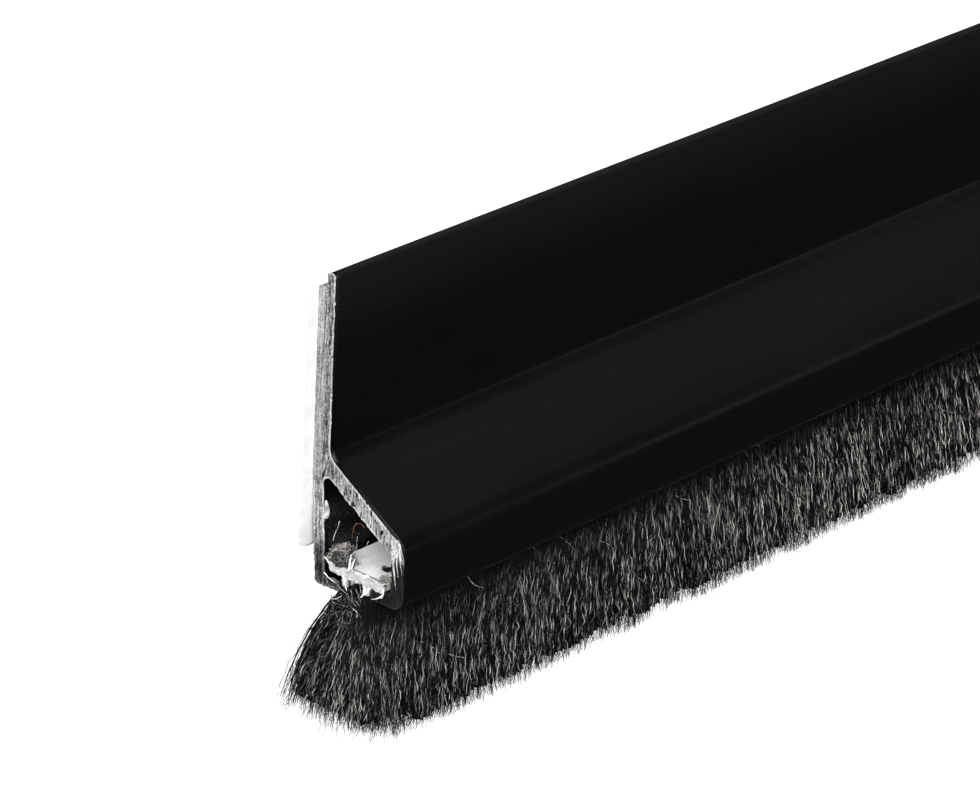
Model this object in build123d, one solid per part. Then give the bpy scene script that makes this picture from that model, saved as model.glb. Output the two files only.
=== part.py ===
"""Threshold draught strip, stuck along the bottom of a door.

A black extruded carrier holds a brush in the channel behind its sloping hood.
A foam tape on the back of its upright flange sticks it to the door, under a peel-off liner.
The brush is a pile of crimped filaments, welded to a white strip that slides into the channel.

Millimetres. X runs along the strip, the sloping front faces -Y, and the brush hangs down in -Z.
The origin is the middle of the tape's height and length, on the liner's flat back face.
"""
from build123d import *
import math
import os

# The length that the strip is sold in, cut square with shears at both ends
strip_length = 914.0

# Extruded carrier, as a section seen along the strip
carrier_height = 28.0
flange_thickness = 0.8
crease_above_lips = 11.75
wall_thickness = 1.2
wall_lean = 0.5
hood_reach = 8.6
hood_slope = 33.0
hood_thickness = 1.5
front_wall_thickness = 1.3
lip_thickness = 0.95
front_lip_raise = 0.6
slot_width = 3.5

# Rounding of the extruded corners
top_edge_radius = 0.35
crease_radius = 1.6
hood_corner_radius = 2.2
front_corner_radius = 1.0
back_corner_radius = 0.4
lip_tip_radius = 0.4
channel_corner_radius = 0.6
shoulder_radius = 0.15

# Foam tape, in the recess behind the flange
tape_thickness = 1.0
tape_width = 17.2
tape_margin = 1.4
tape_stands_proud = 0.1

# Release liner, wider than the tape so that a finger can lift it
liner_thickness = 0.15
liner_overhang = 1.4
liner_inset = 0.2
liner_tail = 6.6
liner_curl_radius = 20.0
liner_corner = 1.4

# White strip that carries the pile, with two ribs that grip its root
backing_thickness = 0.8
backing_play = 0.9
rib_spacing = 2.4
rib_thickness = 0.45
rib_height = 0.9
backing_edge_radius = 0.15

# Brush pile, which splays out past the cut ends
pile_length = 11.6
pile_play = 0.15
pile_shoulder_spread = 6.8
pile_shoulder_drop = 2.6
pile_tip_spread = 8.8
pile_end_splay = 5.0
pile_end_lift = 2.6

# Locks that the pile parts into; the smallest is a share of the largest
lock_pitch = 4.5
lock_depth = 0.9
lock_crown = 0.3
notch_depth = 1.3
smallest_lock = 0.3
golden_angle = math.pi * (3 - math.sqrt(5))

# Heights and depths that the sizes above lead to
half_length = strip_length / 2
sticky_face = -liner_thickness
flange_back = sticky_face - tape_thickness
flange_front = flange_back - flange_thickness
wall_back = sticky_face - tape_stands_proud
wall_inner = wall_back - wall_thickness
lip_face = flange_front - hood_reach
front_inner = lip_face + front_wall_thickness
slot_middle = (wall_inner + front_inner) / 2
back_lip_tip = slot_middle + slot_width / 2
front_lip_tip = slot_middle - slot_width / 2

tape_top = tape_width / 2
tape_shoulder = -tape_width / 2
flange_top = tape_top + tape_margin
back_lip_bottom = flange_top - carrier_height
crease_height = back_lip_bottom + crease_above_lips
back_lip_top = back_lip_bottom + lip_thickness
front_lip_bottom = back_lip_bottom + front_lip_raise
front_lip_top = front_lip_bottom + lip_thickness
pile_bottom = back_lip_bottom - pile_length


def hood_height(y):
    """Height of the hood's outer slope at a depth y."""
    return crease_height - (flange_front - y) * math.tan(math.radians(hood_slope))


def hood_inner_height(y):
    """Height of the hood's inner slope, one hood thickness under the outer one."""
    return hood_height(y) - hood_thickness / math.cos(math.radians(hood_slope))


def run_along_strip(section, start, end):
    """Carries a section, drawn in Y and Z, along X from start to end."""
    return extrude(Plane((start, 0, 0), x_dir=(0, 1, 0), z_dir=(1, 0, 0)) * section, amount=end - start)


def rounded_section(corners):
    """A closed section from (y, z, corner radius) in order round its outline."""
    places = [(y, z) for y, z, _ in corners]
    radii = [radius for _, _, radius in corners]
    return make_face(FilletPolyline(*places, radius=radii, close=True))


def make_carrier():
    """Upright flange, back wall, sloping hood and two lips that face each other across a slot."""
    section = rounded_section([
        (flange_back, flange_top, top_edge_radius),
        (flange_front, flange_top, top_edge_radius),
        (flange_front, crease_height, crease_radius),
        (lip_face, hood_height(lip_face), hood_corner_radius),
        (lip_face, front_lip_bottom, front_corner_radius),
        (front_lip_tip, front_lip_bottom, lip_tip_radius),
        (front_lip_tip, front_lip_top, lip_tip_radius),
        (front_inner, front_lip_top, channel_corner_radius),
        (front_inner, hood_inner_height(front_inner), channel_corner_radius),
        (wall_inner, hood_inner_height(wall_inner), channel_corner_radius),
        (wall_inner - wall_lean, back_lip_top, channel_corner_radius),
        (back_lip_tip, back_lip_top, lip_tip_radius),
        (back_lip_tip, back_lip_bottom, lip_tip_radius),
        (wall_back - wall_lean, back_lip_bottom, back_corner_radius),
        (wall_back, tape_shoulder, shoulder_radius),
        (flange_back, tape_shoulder, 0),
    ])
    return run_along_strip(section, -half_length, half_length)


def make_tape():
    """Foam tape, from the shoulder of the recess up, between the flange and the liner."""
    section = Pos(sticky_face - tape_thickness / 2, 0) * Rectangle(tape_thickness, tape_width)
    return run_along_strip(section, -half_length, half_length)


def make_liner():
    """Thin sheet on the tape, whose tail hangs free and curls away from the wall."""
    top = tape_top - liner_inset
    curl = math.degrees(liner_tail / liner_curl_radius)
    curl_centre = (liner_curl_radius, tape_shoulder)
    back = Line((0, top), (0, tape_shoulder))
    front = Line((sticky_face, top), (sticky_face, tape_shoulder))
    back_tail = CenterArc(curl_centre, liner_curl_radius, 180, curl)
    front_tail = CenterArc(curl_centre, liner_curl_radius + liner_thickness, 180, curl)
    edges = [
        back,
        back_tail,
        Line(back_tail @ 1, front_tail @ 1),
        front_tail,
        front,
        Line(front @ 0, back @ 0),
    ]
    reach = half_length + liner_overhang
    sheet = run_along_strip(make_face(edges), -reach, reach)
    bottom = (front_tail @ 1).Y
    outline = Pos(0, (top + bottom) / 2) * RectangleRounded(2 * reach, top - bottom, liner_corner)
    cutter = extrude(Plane.XZ * outline, amount=liner_curl_radius, both=True)
    return sheet & cutter


def make_backing():
    """White strip with two ribs under it, lying on the front lip."""
    half_width = (wall_inner - front_inner) / 2 - backing_play
    middle = Pos(slot_middle, front_lip_top)
    strip = middle * Pos(0, backing_thickness / 2) * RectangleRounded(
        2 * half_width, backing_thickness, backing_edge_radius)
    for side in (-1, 1):
        rib_centre = (backing_thickness - rib_height) / 2
        rib = Pos(side * rib_spacing / 2, rib_centre) * Rectangle(rib_thickness, rib_height + backing_thickness)
        strip += middle * rib
    return run_along_strip(strip, -half_length, half_length)


def uneven(index):
    """A share up to 1 that changes from lock to lock; turning by the golden angle, it repeats nowhere."""
    wave = (1 + math.sin(golden_angle * index)) / 2
    return smallest_lock + (1 - smallest_lock) * wave


def make_pile():
    """Brush pile: rooted between the ribs, squeezed through the slot, and parted into ridged locks.

    Three outlines meet in it: the section across the strip, the toothed plan of the locks
    and the notched front view, whose ends splay out past the carrier.
    """
    root = rib_spacing / 2 - rib_thickness / 2 - pile_play
    neck = slot_width / 2 - pile_play
    shoulder = pile_shoulder_spread / 2
    tip = pile_tip_spread / 2
    widest = tip + lock_crown
    rib_bottom = front_lip_top - rib_height
    half_section = [
        (root, front_lip_top),
        (root, rib_bottom - pile_play),
        (neck, rib_bottom - 2 * pile_play),
        (neck, back_lip_bottom - pile_play),
        (shoulder, back_lip_bottom - pile_shoulder_drop),
        (widest, pile_bottom),
    ]
    left = [(slot_middle - y, z) for y, z in half_section]
    right = [(slot_middle + y, z) for y, z in reversed(half_section)]
    section = make_face(Polyline(*left, *right, close=True))
    reach = half_length + pile_end_splay
    body = run_along_strip(section, -reach, reach)

    locks = round(strip_length / lock_pitch)
    pitch = 2 * reach / locks
    front_row = []
    back_row = []
    lower_edge = []
    for index in range(locks):
        crown = -reach + (index + 0.5) * pitch
        parting = -reach + (index + 1) * pitch
        front_groove = tip - lock_depth * uneven(index)
        back_groove = tip - lock_depth * uneven(locks + index)
        front_row += [(crown, slot_middle - widest), (parting, slot_middle - front_groove)]
        back_row += [(crown, slot_middle + widest), (parting, slot_middle + back_groove)]
        lower_edge += [(crown, pile_bottom), (parting, pile_bottom + notch_depth * uneven(2 * index))]
    start = (-reach, slot_middle)
    plan = make_face(Polyline(start, *front_row[:-1], (reach, slot_middle), *reversed(back_row[:-1]), close=True))
    body &= extrude(Plane((0, 0, pile_bottom)) * plan, amount=carrier_height)

    far_end = [
        (half_length - pile_play, front_lip_top),
        (half_length - pile_play, back_lip_bottom),
        (half_length + pile_end_splay / 2, back_lip_bottom - pile_length / 3),
        (half_length + pile_end_splay, pile_bottom + pile_end_lift),
        (half_length + pile_end_splay / 2, pile_bottom),
    ]
    near_end = [(-x, z) for x, z in reversed(far_end)]
    between_ends = [(x, z) for x, z in reversed(lower_edge) if abs(x) < half_length]
    front_view = make_face(Polyline(*near_end, *far_end, *between_ends, close=True))
    body &= extrude(Plane.XZ * front_view, amount=carrier_height, both=True)
    return body


def write_parts():
    """Writes each piece of the strip to a file of its own."""
    os.makedirs("parts", exist_ok=True)
    pieces = {
        "carrier_profile": make_carrier(),
        "adhesive_foam_tape": make_tape(),
        "release_liner": make_liner(),
        "brush_backing": make_backing(),
        "brush_pile": make_pile(),
    }
    for name, piece in pieces.items():
        piece.label = name
        export_step(piece, f"parts/{name}.step")


write_parts()
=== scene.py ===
"""Finish of the threshold draught strip: drawn black profile, foam tape, liner and crimped brush pile.

Every piece is worked out with numpy in the part's own frame, in metres: X along the strip,
the sloping hood towards -Y, the brush down. The photographed end is the one at the lowest X.
"""
import math

import bpy
import numpy as np
from bpy.props import FloatProperty, FloatVectorProperty, IntProperty, PointerProperty
from mathutils import Matrix, Vector


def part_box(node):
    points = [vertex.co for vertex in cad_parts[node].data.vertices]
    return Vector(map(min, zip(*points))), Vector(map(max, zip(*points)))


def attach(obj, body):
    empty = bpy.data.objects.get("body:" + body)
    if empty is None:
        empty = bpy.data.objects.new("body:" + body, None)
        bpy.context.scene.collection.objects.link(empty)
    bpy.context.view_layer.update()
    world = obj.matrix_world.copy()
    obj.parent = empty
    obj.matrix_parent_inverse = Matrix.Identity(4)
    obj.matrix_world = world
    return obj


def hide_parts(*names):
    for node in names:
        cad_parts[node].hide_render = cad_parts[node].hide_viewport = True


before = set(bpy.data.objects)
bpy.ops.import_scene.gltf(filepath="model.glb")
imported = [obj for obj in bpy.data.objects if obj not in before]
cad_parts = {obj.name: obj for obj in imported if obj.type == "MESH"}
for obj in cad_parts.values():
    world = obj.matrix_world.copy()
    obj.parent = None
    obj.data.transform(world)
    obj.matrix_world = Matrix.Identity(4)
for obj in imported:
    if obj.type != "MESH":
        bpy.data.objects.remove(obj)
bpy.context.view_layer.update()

bl_info = {
    "name": "Threshold draught strip",
    "version": (1, 0, 0),
    "blender": (4, 5, 0),
    "location": "3D View > Sidebar > Strip",
    "description": "Dresses a brush draught strip for the bottom of a door",
    "category": "Object",
}

MM = 0.001
CARRIER_LOW, CARRIER_HIGH = np.array(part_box("carrier_profile"))
TAPE_LOW, TAPE_HIGH = np.array(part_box("adhesive_foam_tape"))
LINER_LOW, LINER_HIGH = np.array(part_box("release_liner"))
BACKING_LOW, BACKING_HIGH = np.array(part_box("brush_backing"))
PILE_LOW, PILE_HIGH = np.array(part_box("brush_pile"))
NEAR_END, FAR_END = CARRIER_LOW[0], CARRIER_HIGH[0]
MOUTH = CARRIER_LOW[2]
TIPS = PILE_LOW[2] - 0.35 * MM
BRUSH_MIDDLE = (PILE_LOW[1] + PILE_HIGH[1]) / 2
BRUSH_HALF = (PILE_HIGH[1] - PILE_LOW[1]) / 2
PLAIN_GAP = 1.3 * MM    # between the points of a drawn section, and of its cut ends
CUT_GAP = 0.13 * MM
FAN = 6 * MM            # stretch at a cut end whose filaments spread to all sides
STRAND_SIDES = 3        # points round a filament
FILAMENT_RINGS = 24
TUFT_RINGS = 6
FLOOR_SIZE = 12
PHOTO_WIDTH = 980       # pixels
SENSOR = 36             # millimetres

# Name, place, side and power of each square lamp
LAMPS = (
    ("key", (-1.45, -1.15, 0.75), 0.8, 30),
    ("end", (-1.50, -0.15, 0.80), 0.7, 12),
    ("high", (-0.95, -0.35, 1.45), 0.9, 9),
    ("edge", (0.48, -0.83, 0.07), 0.16, 0.06),
    ("behind", (-0.20, 1.70, 0.28), 0.9, 18),
    ("far", (0.95, -0.35, 0.15), 0.3, 2.2),
)


def millimetres(name, description, size):
    """A length property whose default is given in millimetres."""
    return FloatProperty(name=name, description=description, default=size * MM, min=0, unit="LENGTH",
                         precision=5)


def angle(name, description, degrees):
    """An angle property whose default is given in degrees."""
    return FloatProperty(name=name, description=description, default=math.radians(degrees), subtype="ANGLE")


def colour(name, description, red, green, blue):
    """A colour property in linear light."""
    return FloatVectorProperty(name=name, description=description, default=(red, green, blue),
                               subtype="COLOR", min=0, max=1)


class StripCarrierSizes(bpy.types.PropertyGroup):
    """Section of the black profile."""
    flange_thickness: millimetres("Flange", "Thickness of the upright flange", 0.8)
    crease_height: millimetres("Crease height", "Height of the crease above the back lip", 11.75)
    wall: millimetres("Back wall", "Thickness of the wall behind the brush", 1.05)
    wall_lean: millimetres("Wall lean", "How far the back wall leans forward at its foot", 0.5)
    hood_slope: angle("Hood slope", "Fall of the hood towards the front", 33)
    hood: millimetres("Hood", "Thickness of the hood", 1.5)
    front_wall: millimetres("Front wall", "Thickness of the wall under the hood's corner", 1.3)
    lip: millimetres("Lips", "Thickness of the two lips", 0.95)
    lip_raise: millimetres("Front lip raise", "How much higher the front lip is than the back one", 0.6)
    slot: millimetres("Slot", "Gap between the lips, where the pile comes out", 3.5)
    top_edge: millimetres("Top edge", "Rounding of the flange's free edge", 0.35)
    crease: millimetres("Crease", "Hollow radius between flange and hood", 1.6)
    hood_corner: millimetres("Hood corner", "Rounding where the hood turns down", 2.6)
    front_corner: millimetres("Front corner", "Rounding under the front lip", 1.0)
    lip_tip: millimetres("Lip tips", "Rounding of the lips' free edges", 0.4)
    channel_corner: millimetres("Channel corners", "Hollow radius inside the channel", 0.6)
    burr: millimetres("Burr", "How far the sheared edges stand out", 0.032)
    black: colour("Black", "Colour of the profile", 0.0017, 0.0017, 0.0019)
    frosted: colour("Frosted", "Colour of the sheared ends", 0.275, 0.275, 0.28)


class StripTapeSizes(bpy.types.PropertyGroup):
    """Foam tape, liner and the white strip in the channel."""
    liner_corner: millimetres("Liner corners", "Rounding of the liner's upper corners", 1.4)
    tail_corner: millimetres("Tail corners", "Rounding of the liner's lower corners", 2.4)
    liner_curl: millimetres("Liner curl", "Radius of the liner's free tail", 24)
    backing: millimetres("Backing", "Thickness of the white strip", 0.8)
    rib_spacing: millimetres("Rib spacing", "Between the middles of the backing's ribs", 2.4)
    rib: millimetres("Ribs", "Thickness of each rib", 0.45)
    foam: colour("Foam", "Colour of the tape", 0.085, 0.085, 0.087)
    paper: colour("Liner", "Colour of the liner", 0.88, 0.878, 0.87)
    white: colour("Backing white", "Colour of the strip in the channel", 0.90, 0.90, 0.905)
    glue: colour("Glue", "Colour of the lump of glue", 0.62, 0.62, 0.62)
    fluff: colour("Fluff", "Colour of the loose fibre in the channel", 0.42, 0.405, 0.385)


class StripPileSizes(bpy.types.PropertyGroup):
    """The brush."""
    thickness: millimetres("Filament", "Diameter of a filament near the photographed end", 0.066)
    tuft: millimetres("Far tuft", "Diameter of a bunch of filaments away from that end", 0.20)
    crimp: millimetres("Crimp", "How far a filament wanders from its line", 0.08)
    bunch: millimetres("Bunch", "Spacing of the bunches that filaments draw together in", 0.9)
    lock: millimetres("Lock", "Spacing of the larger locks seen along the tips", 4.5)
    near_length: millimetres("Near stretch", "Length of the densely made stretch", 100)
    splay: angle("End splay", "How much more the pile leans at the cut end itself", 11)
    splay_reach: millimetres("Splay reach", "How far in from a cut end that splay goes", 8)
    drift: angle("Drift", "Lean towards the cut end that dies out along the strip", 24)
    drift_reach: millimetres("Drift reach", "Stretch that drifts fully; it dies out over as much again", 28)
    near_count: IntProperty(name="Near filaments", description="Filaments in each near piece", default=1350,
                            min=1)
    far_count: IntProperty(name="Far tufts", description="Tufts in each far piece", default=4600, min=1)
    dark: colour("Charcoal", "Colour of the dark filaments", 0.0022, 0.0021, 0.0020)
    pale: colour("Pale", "Colour where the crimp catches the light", 0.93, 0.90, 0.86)


class StripPhotograph(bpy.types.PropertyGroup):
    """Camera."""
    azimuth: angle("Azimuth", "Round the strip from the front", -49.686)
    elevation: angle("Elevation", "Above the horizon", 24.092)
    roll: angle("Roll", "Turn of the camera about its own axis", 2.716)
    focal: FloatProperty(name="Focal length", description="In pixels of the photograph", default=5291)
    place: FloatVectorProperty(name="Camera", description="Camera from the middle of the near end",
                               unit="LENGTH", default=(-0.29235, -0.26699, 0.17558), precision=5)


class Num:
    """A shader value that takes part in sums: each operator adds a Math node."""

    def __init__(self, paint, socket):
        self.paint = paint
        self.socket = socket

    def maths(self, operation, other):
        return self.paint.maths(operation, self, other)

    def __add__(self, other):
        return self.maths("ADD", other)

    def __sub__(self, other):
        return self.maths("SUBTRACT", other)

    def __rsub__(self, other):
        return self.paint.maths("SUBTRACT", other, self)

    def __mul__(self, other):
        return self.maths("MULTIPLY", other)

    __radd__ = __add__
    __rmul__ = __mul__

    def step(self, low, high):
        """0 below low, 1 above high and smooth between."""
        settings = {"interpolation_type": "SMOOTHSTEP"}
        inputs = {"Value": self, "From Min": low, "From Max": high}
        return self.paint.add("ShaderNodeMapRange", settings, inputs)


class Paint:
    """A material, or the world, whose nodes are added by one method."""

    def __init__(self, name, kind="materials", place="Object"):
        self.block = getattr(bpy.data, kind).new(name)
        self.block.use_nodes = True
        self.tree = self.block.node_tree
        self.tree.nodes.clear()
        self.place = self.add("ShaderNodeTexCoord", output=place)

    def add(self, kind, settings=None, inputs=None, output=0):
        """Adds a node with its settings, then its inputs by name or in order, and gives one output."""
        node = self.tree.nodes.new(kind)
        for name, value in (settings or {}).items():
            setattr(node, name, value)
        pairs = inputs.items() if isinstance(inputs, dict) else enumerate(inputs or [])
        for key, value in pairs:
            if isinstance(value, Num):
                self.tree.links.new(value.socket, node.inputs[key])
            else:
                node.inputs[key].default_value = value
        return Num(self, node.outputs[output]) if node.outputs else None

    def maths(self, operation, first, second):
        """One Math node on two values."""
        return self.add("ShaderNodeMath", {"operation": operation}, [first, second])

    def axis(self, name):
        """Place along X, Y or Z, in metres."""
        return self.add("ShaderNodeSeparateXYZ", None, [self.place], output=name)

    def stretched(self, patterns):
        """The place with each axis scaled, in patterns per metre."""
        settings = {"vector_type": "POINT"}
        return self.add("ShaderNodeMapping", settings, {"Vector": self.place, "Scale": patterns})

    def noise(self, where, detail, rough):
        """Soft noise between 0 and 1. where is a place, or the patterns per metre along X, Y and Z."""
        where = where if isinstance(where, Num) else self.stretched(where)
        inputs = {"Vector": where, "Scale": 1.0, "Detail": detail, "Roughness": rough}
        return self.add("ShaderNodeTexNoise", None, inputs)

    def cells(self, patterns):
        """Distance to the middle of the nearest cell."""
        inputs = {"Vector": self.stretched(patterns), "Scale": 1.0}
        return self.add("ShaderNodeTexVoronoi", {"feature": "F1"}, inputs)

    def attribute(self, name):
        """A number kept for each vertex."""
        return self.add("ShaderNodeAttribute", {"attribute_name": name}, output="Fac")

    def scaled(self, colour, factor):
        """A colour made lighter or darker by a value."""
        return self.add("ShaderNodeVectorMath", {"operation": "SCALE"}, {0: colour, "Scale": factor})

    def mix(self, factor, first, second):
        """Blend of two colours."""
        inputs = {0: factor, 6: rgba(first), 7: rgba(second)}
        return self.add("ShaderNodeMix", {"data_type": "RGBA"}, inputs, output=2)

    def bump(self, height, depth, strength=1.0):
        """A normal from a height, where depth is in metres."""
        return self.add("ShaderNodeBump", None, {"Strength": strength, "Distance": depth, "Height": height})

    def finish(self, **sockets):
        """Ends the material in one Principled shader."""
        named = {name.replace("_", " "): value for name, value in sockets.items()}
        named["Base Color"] = rgba(named["Base Color"])
        shader = self.add("ShaderNodeBsdfPrincipled", None, named)
        self.add("ShaderNodeOutputMaterial", None, {"Surface": shader})
        return self.block


def rgba(value):
    """A colour socket's value from a colour, or the link as it is."""
    return value if isinstance(value, Num) else (*value, 1.0)


def shade(colour, factor, most=1.0):
    """A colour times a factor, with no channel above the most."""
    return tuple(min(factor * channel, most) for channel in colour)


def two_tone(name, dark, pale, noises, low, high, relief=None, **sockets):
    """A finish that turns from dark to pale as a sum of noises goes from low to high.

    noises lists (patterns per metre, detail, roughness, weight in the tone, weight in the relief),
    and relief is the bump's depth in metres and its strength.
    """
    paint = Paint(name)
    found = [(paint.noise(*noise), tone, rise) for *noise, tone, rise in noises]
    first, *others = [value * tone for value, tone, _ in found]
    base = paint.mix(sum(others, first).step(low, high), dark, pale)
    if relief:
        first, *others = [value * rise for value, _, rise in found]
        sockets["Normal"] = paint.bump(sum(others, first), *relief)
    return paint.finish(Base_Color=base, **sockets)


def rounded_outline(corners):
    """Closed outline through (y, z, radius) corners, each turned by an arc.

    Places are complex numbers. The arc's centre lies on the corner's bisector at radius / sin(half angle),
    and its points are spaced evenly from one tangent point to the other.
    """
    arc_points = 9
    y, z, radius = np.array(corners).T
    corner = y + 1j * z
    to_last, to_next = np.roll(corner, 1) - corner, np.roll(corner, -1) - corner
    to_last, to_next = to_last / abs(to_last), to_next / abs(to_next)
    half = abs(np.angle(to_last / to_next)) / 2
    bisector = to_last + to_next
    centre = corner + bisector / abs(bisector) * radius / np.sin(half)
    first = corner + to_last * radius / np.tan(half) - centre
    last = corner + to_next * radius / np.tan(half) - centre
    swing = np.angle(last / first)[:, None] * np.linspace(0, 1, arc_points)
    arcs = (centre[:, None] + first[:, None] * np.exp(1j * swing)).ravel()
    return np.stack([arcs.real, arcs.imag], 1)


def inset(outline, distance):
    """The anticlockwise outline moved inwards along the mean normal of its two neighbouring edges."""
    along = np.roll(outline, -1, 0) - np.roll(outline, 1, 0)
    along /= np.maximum(np.linalg.norm(along, axis=1)[:, None], 1e-12)
    inward = np.stack([-along[:, 1], along[:, 0]], 1)
    return outline + inward * np.broadcast_to(distance, len(outline))[:, None]


def filled_in(outline, gap):
    """The outline with points added along its long edges, so that none is much longer than the gap."""
    following = np.roll(outline, -1, 0)
    count = np.maximum(np.ceil(np.linalg.norm(following - outline, axis=1) / gap).astype(int), 1)
    start = np.repeat(np.arange(len(outline)), count)
    step = np.arange(count.sum()) - np.repeat(np.cumsum(count) - count, count)
    part = (step / count[start])[:, None]
    return outline[start] * (1 - part) + following[start] * part


def band(lower, upper):
    """Quads between two closed rings of vertex numbers."""
    return np.stack([lower, np.roll(lower, -1), np.roll(upper, -1), upper], 1)


def closed_tube(rings, smooth=True):
    """Skin over a row of rings, closed at both ends. They turn anticlockwise seen from the last one."""
    rows, columns = rings.shape[:2]
    around = np.arange(columns)
    sides = np.concatenate([band(around + i * columns, around + (i + 1) * columns) for i in range(rows - 1)])
    ends = [(around[None, ::-1], 0, False), (around[None] + (rows - 1) * columns, 0, False)]
    return rings.reshape(-1, 3), [(sides, 0, smooth), *ends]


class Heap:
    """Gathers the points and faces of one piece, with how near each point is to a cut rim."""

    def __init__(self):
        self.points = []
        self.faces = []
        self.rims = []
        self.total = 0

    def add(self, points, faces, rim=0.0):
        points = points.reshape(-1, 3)
        self.faces += [(rows + self.total, number, smooth) for rows, number, smooth in faces]
        self.points.append(points)
        self.rims.append(np.broadcast_to(rim, len(points)))
        self.total += len(points)
        return self

    def piece(self, name, materials, slot, replaces=(), wander=None):
        """Makes the piece. wander shifts its points across the strip, by where they are."""
        points = np.concatenate(self.points)
        if wander:
            points[:, 1:] += np.stack(wander(*points.T), 1)
        make_piece(name, points, self.faces, materials, replaces, {"rim": np.concatenate(self.rims)})


def make_piece(name, points, faces, materials, replaces=(), values=None, chart=None):
    """Puts arrays into a mesh and sets the piece on the strip.

    faces is a list of (array of vertex numbers, one face a row; material number; smooth or not),
    values are named numbers for each vertex, and chart is the place on the piece's map for each corner.
    """
    mesh = bpy.data.meshes.new(name)
    points = np.asarray(points, np.float32).reshape(-1, 3)
    mesh.vertices.add(len(points))
    mesh.vertices.foreach_set("co", points.ravel())
    rows = [np.asarray(rows, np.int32) for rows, _, _ in faces]
    corners = np.concatenate([row.ravel() for row in rows])
    sizes = np.concatenate([np.full(len(row), row.shape[1], np.int32) for row in rows])
    mesh.loops.add(len(corners))
    mesh.loops.foreach_set("vertex_index", corners)
    mesh.polygons.add(len(sizes))
    mesh.polygons.foreach_set("loop_start", np.r_[0, np.cumsum(sizes)[:-1]].astype(np.int32))
    numbers = [np.full(len(row), number, np.int32) for row, (_, number, _) in zip(rows, faces)]
    smooth = [np.full(len(row), shaded, bool) for row, (_, _, shaded) in zip(rows, faces)]
    mesh.polygons.foreach_set("material_index", np.concatenate(numbers))
    mesh.polygons.foreach_set("use_smooth", np.concatenate(smooth))
    for label, value in (values or {}).items():
        value = np.asarray(value, np.float32).ravel()
        mesh.attributes.new(label, "FLOAT", "POINT").data.foreach_set("value", value)
    if chart is not None:
        layer = mesh.uv_layers.new(name="OFBake")
        layer.data.foreach_set("uv", np.asarray(chart, np.float32).ravel())
    mesh.update(calc_edges=True)
    for material in materials:
        mesh.materials.append(material)
    piece = linked(name, mesh)
    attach(piece, "root")
    if replaces:
        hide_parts(*replaces)


def linked(name, data):
    """A new object for a mesh, lamp or camera, in the scene."""
    made = bpy.data.objects.new(name, data)
    bpy.context.scene.collection.objects.link(made)
    return made


def ribbon(line, half, thick):
    """A thin closed band along a line on the near end: four corners a ring.

    They lie half to either side in the end's plane, and thick before and behind it.
    """
    run = np.gradient(line, axis=0)
    run /= np.linalg.norm(run, axis=1)[:, None]
    side = np.cross(run, (-1.0, 0.0, 0.0))
    side /= np.linalg.norm(side, axis=1)[:, None]
    front = np.cross(run, side)
    half = half[:, None]
    thick = np.minimum(thick, half)
    rings = np.stack([line + side * half, line + front * thick, line - side * half, line - front * thick], 1)
    return closed_tube(rings, False)


def at_near_end(x, y, z):
    """Places from millimetres: x from the photographed end into the strip, y and z from the origin."""
    return np.stack(np.broadcast_arrays(NEAR_END + x * MM, y * MM, z * MM), -1)


def bent_line(control, part, past):
    """Line over the near end, past it by some millimetres, at the shares part of a Bezier curve.

    Control point k of n + 1 is weighted by (n over k) times t to the k times (1 - t) to the n - k.
    """
    last = len(control) - 1
    weights = [math.comb(last, k) * part ** k * (1 - part) ** (last - k) for k in range(last + 1)]
    return at_near_end(-past, *(np.stack(weights, 1) @ np.array(control)).T)


def waves(where, seed, count, longest, shortest):
    """Noise of about unit size along a line: a sum of sines at random phases, weaker as they shorten."""
    random = np.random.default_rng(seed)
    lengths = np.geomspace(longest, shortest, count)
    weights = np.sqrt(lengths / longest)
    phases = random.uniform(0, 2 * math.pi, count)
    total = sum(w * np.sin(2 * math.pi * where / size + p) for w, size, p in zip(weights, lengths, phases))
    return total / np.sqrt((weights ** 2).sum() / 2)


def flare(down):
    """How far the pile has widened at a share of its fall: fast at first, then nearly evenly."""
    return 1 - (1 - down) ** 1.35


def sheared_end(outline, x, outward, shear, seed):
    """A cut end 0.5 mm deep: points, faces and how near each point is to the rim.

    shear is (burr, torn, rim). The rim stands out round the section by burr times a ragged noise, and
    along the strip by torn times another. Inside it the face lies flat at x. The noise is a sum of sines
    along the outline's length.
    """
    burr, torn, rim = shear
    length = np.r_[0, np.cumsum(np.linalg.norm(np.diff(outline, axis=0), axis=1))]
    ragged = np.abs(waves(length, seed, 10, 2.4 * MM, 0.24 * MM))
    patchy = np.clip(1 + 0.7 * waves(length, seed + 1, 4, 11 * MM, 3 * MM), 0.1, 2.5)
    torn_edge = torn * waves(length, seed + 2, 9, 3.2 * MM, 0.3 * MM)
    # How far inside the outline, how far past x, and how near to the rim each ring is
    rings = (
        (-0.004 * MM, -0.5 * MM, 0.0),
        (-0.006 * MM, -0.06 * MM, 0.0),
        (-burr * ragged * patchy, torn_edge, 1.0),
        (0.3 * rim + 0.5 * burr * ragged, 0.8 * torn_edge, 0.9),
        (rim * (1 + 0.3 * ragged), 0.0, 0.0),
    )
    count = len(outline)
    points = np.empty((len(rings), count, 3))
    near_rim = np.empty((len(rings), count))
    for row, (inside, past, near) in enumerate(rings):
        points[row, :, 0] = x + outward * past
        points[row, :, 1:] = inset(outline, inside)
        near_rim[row] = near
    around = np.arange(count)
    faces = [(around[None, ::-1], 0, False), (band(around, around + count), 0, True)]
    faces += [(band(around + row * count, around + (row + 1) * count), 1, False) for row in (1, 2, 3)]
    faces.append((around[None] + 4 * count, 1, False))
    if outward < 0:
        faces = [(rows[:, ::-1], number, smooth) for rows, number, smooth in faces]
    return points, faces, near_rim.ravel()


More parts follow.
